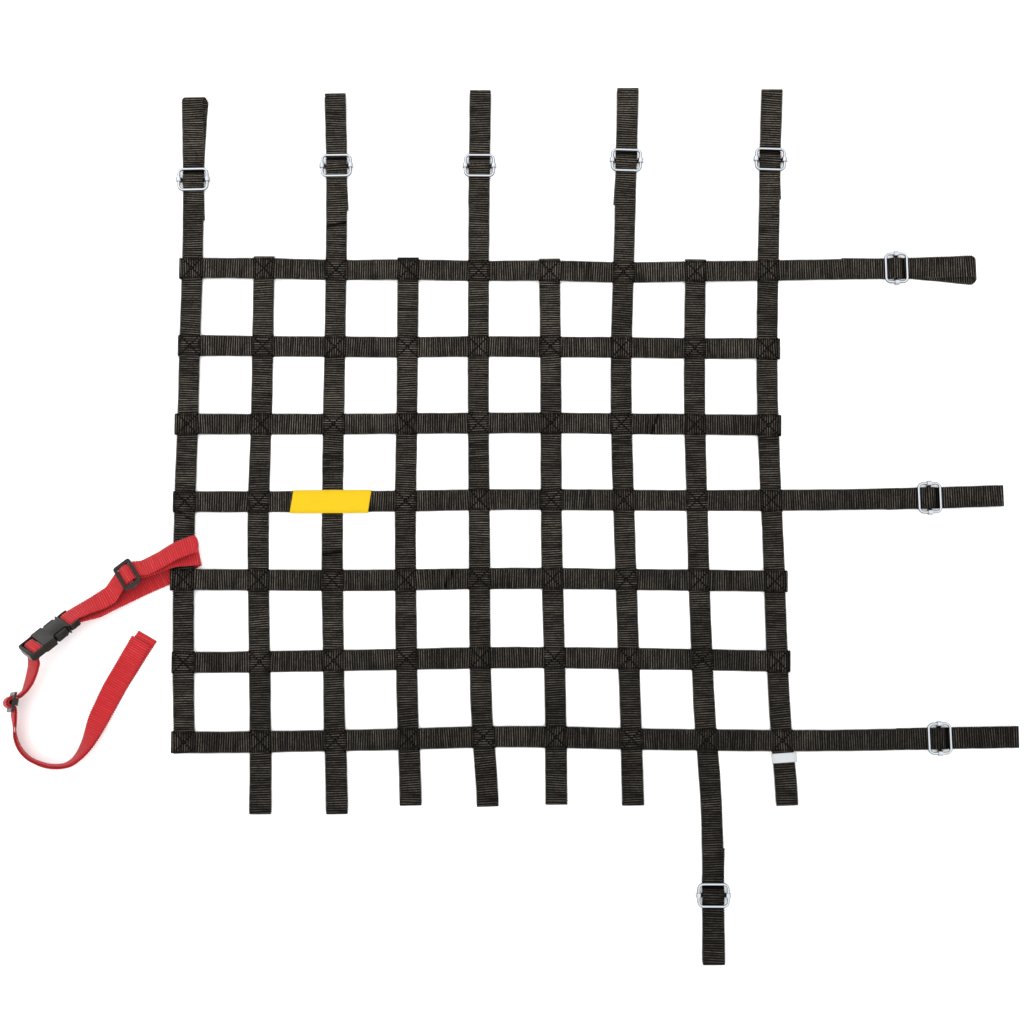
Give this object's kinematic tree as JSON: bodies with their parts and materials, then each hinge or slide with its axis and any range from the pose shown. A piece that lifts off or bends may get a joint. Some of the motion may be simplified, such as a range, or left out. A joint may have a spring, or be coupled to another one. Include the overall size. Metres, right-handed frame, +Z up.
{
  "type": "racing window net",
  "caption": "Racing window net of ribbed webbing sewn in a grid, with adjuster loops on wire slides, sewn foot loops and a red quick release strap.",
  "frame": {"origin": "middle of the crossing of row 4 and column 5, on the surface the net lies on", "axes": "+X along the rows to the side of the three side loops, +Y along the columns to the side of the five top loops, +Z up, out of the side the label is on"},
  "size_m": [1.0766, 0.9437, 0.0464],
  "materials": {
    "webbing": "matte ribbed polyester webbing",
    "red_webbing": "matte ribbed polyester webbing",
    "metal": "bright plated steel wire",
    "plastic": "moulded acetal, satin",
    "front_label": "woven label, bare",
    "care_label": "woven tape, bare"
  },
  "bodies": {
    "root": {"buckle_plug": "plastic", "buckle_socket": "plastic", "care_label": "care_label", "column_strap_1": "webbing", "column_strap_2": "webbing", "column_strap_3": "webbing", "column_strap_4": "webbing", "column_strap_5": "webbing", "column_strap_6": "webbing", "column_strap_7": "webbing", "column_strap_8": "webbing", "column_strap_9": "webbing", "front_label": "front_label", "red_lower_slider": "plastic", "red_lower_strap": "red_webbing", "red_upper_slider": "plastic", "red_upper_strap": "red_webbing", "row_strap_1": "webbing", "row_strap_2": "webbing", "row_strap_3": "webbing", "row_strap_4": "webbing", "row_strap_5": "webbing", "row_strap_6": "webbing", "row_strap_7": "webbing", "slide_bar_column_1": "metal", "slide_bar_column_3": "metal", "slide_bar_column_5": "metal", "slide_bar_column_7": "metal", "slide_bar_column_8": "metal", "slide_bar_column_9": "metal", "slide_bar_row_1": "metal", "slide_bar_row_4": "metal", "slide_bar_row_7": "metal", "slide_frame_column_1": "metal", "slide_frame_column_3": "metal", "slide_frame_column_5": "metal", "slide_frame_column_7": "metal", "slide_frame_column_8": "metal", "slide_frame_column_9": "metal", "slide_frame_row_1": "metal", "slide_frame_row_4": "metal", "slide_frame_row_7": "metal"}
  },
  "joints": []
}
